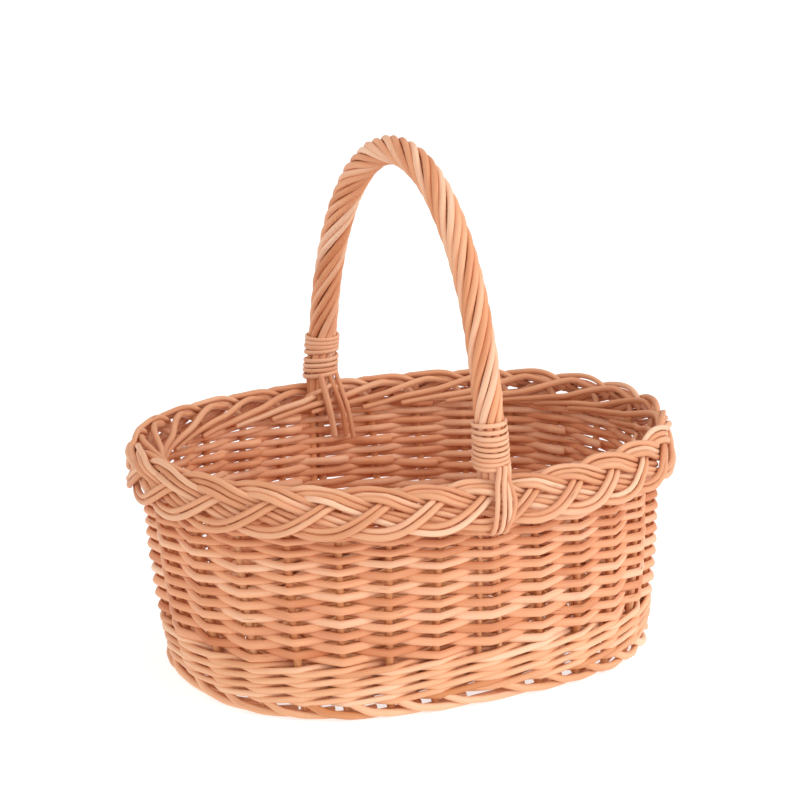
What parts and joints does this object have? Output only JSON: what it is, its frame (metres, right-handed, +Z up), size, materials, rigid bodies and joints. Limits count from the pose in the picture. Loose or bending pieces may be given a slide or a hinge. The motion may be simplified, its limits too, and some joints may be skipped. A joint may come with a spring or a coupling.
{
  "type": "foraging basket",
  "caption": "Oval peeled-willow foraging basket with a plaited border, woven sides and base, and a fixed roped bow handle across the middle.",
  "frame": {"origin": "middle of the foot, on the plane that the basket stands on", "axes": "+X along the basket, +Y across it in the plane of the handle, +Z up"},
  "size_m": [0.4048, 0.2987, 0.3596],
  "materials": {
    "willow_uprights": "satin",
    "willow_weaving": "satin",
    "willow_wales": "satin",
    "willow_base": "satin",
    "willow_border": "satin",
    "willow_handle": "satin",
    "willow_binding": "satin"
  },
  "bodies": {
    "root": {"stake_00": "willow_uprights", "stake_01": "willow_uprights", "stake_02": "willow_uprights", "stake_03": "willow_uprights", "stake_04": "willow_uprights", "stake_05": "willow_uprights", "stake_06": "willow_uprights", "stake_08": "willow_uprights", "stake_09": "willow_uprights", "stake_10": "willow_uprights", "stake_11": "willow_uprights", "stake_12": "willow_uprights", "stake_13": "willow_uprights", "stake_14": "willow_uprights", "stake_15": "willow_uprights", "stake_16": "willow_uprights", "stake_17": "willow_uprights", "stake_18": "willow_uprights", "stake_19": "willow_uprights", "stake_20": "willow_uprights", "stake_22": "willow_uprights", "stake_23": "willow_uprights", "stake_24": "willow_uprights", "stake_25": "willow_uprights", "stake_26": "willow_uprights", "stake_27": "willow_uprights", "siding_a": "willow_weaving", "siding_b": "willow_weaving", "lower_wale": "willow_wales", "upper_wale": "willow_wales", "foot_sweep": "willow_wales", "base_stick_long_1": "willow_base", "base_stick_long_2": "willow_base", "base_stick_long_3": "willow_base", "base_stick_cross_1": "willow_base", "base_stick_cross_2": "willow_base", "base_stick_cross_3": "willow_base", "base_stick_cross_4": "willow_base", "base_stick_cross_5": "willow_base", "base_stick_cross_6": "willow_base", "base_stick_cross_7": "willow_base", "base_weave": "willow_base", "foot_rim": "willow_base", "border_strand_1": "willow_border", "border_strand_2": "willow_border", "border_strand_3": "willow_border", "handle_bow": "willow_handle", "handle_rod_1": "willow_handle", "handle_rod_2": "willow_handle", "handle_rod_3": "willow_handle", "handle_rod_4": "willow_handle", "handle_rod_5": "willow_handle", "handle_rod_6": "willow_handle", "handle_rod_7": "willow_handle", "handle_rod_8": "willow_handle", "handle_rod_9": "willow_handle", "front_binding": "willow_binding", "back_binding": "willow_binding", "front_tie": "willow_binding", "back_tie": "willow_binding"}
  },
  "joints": []
}
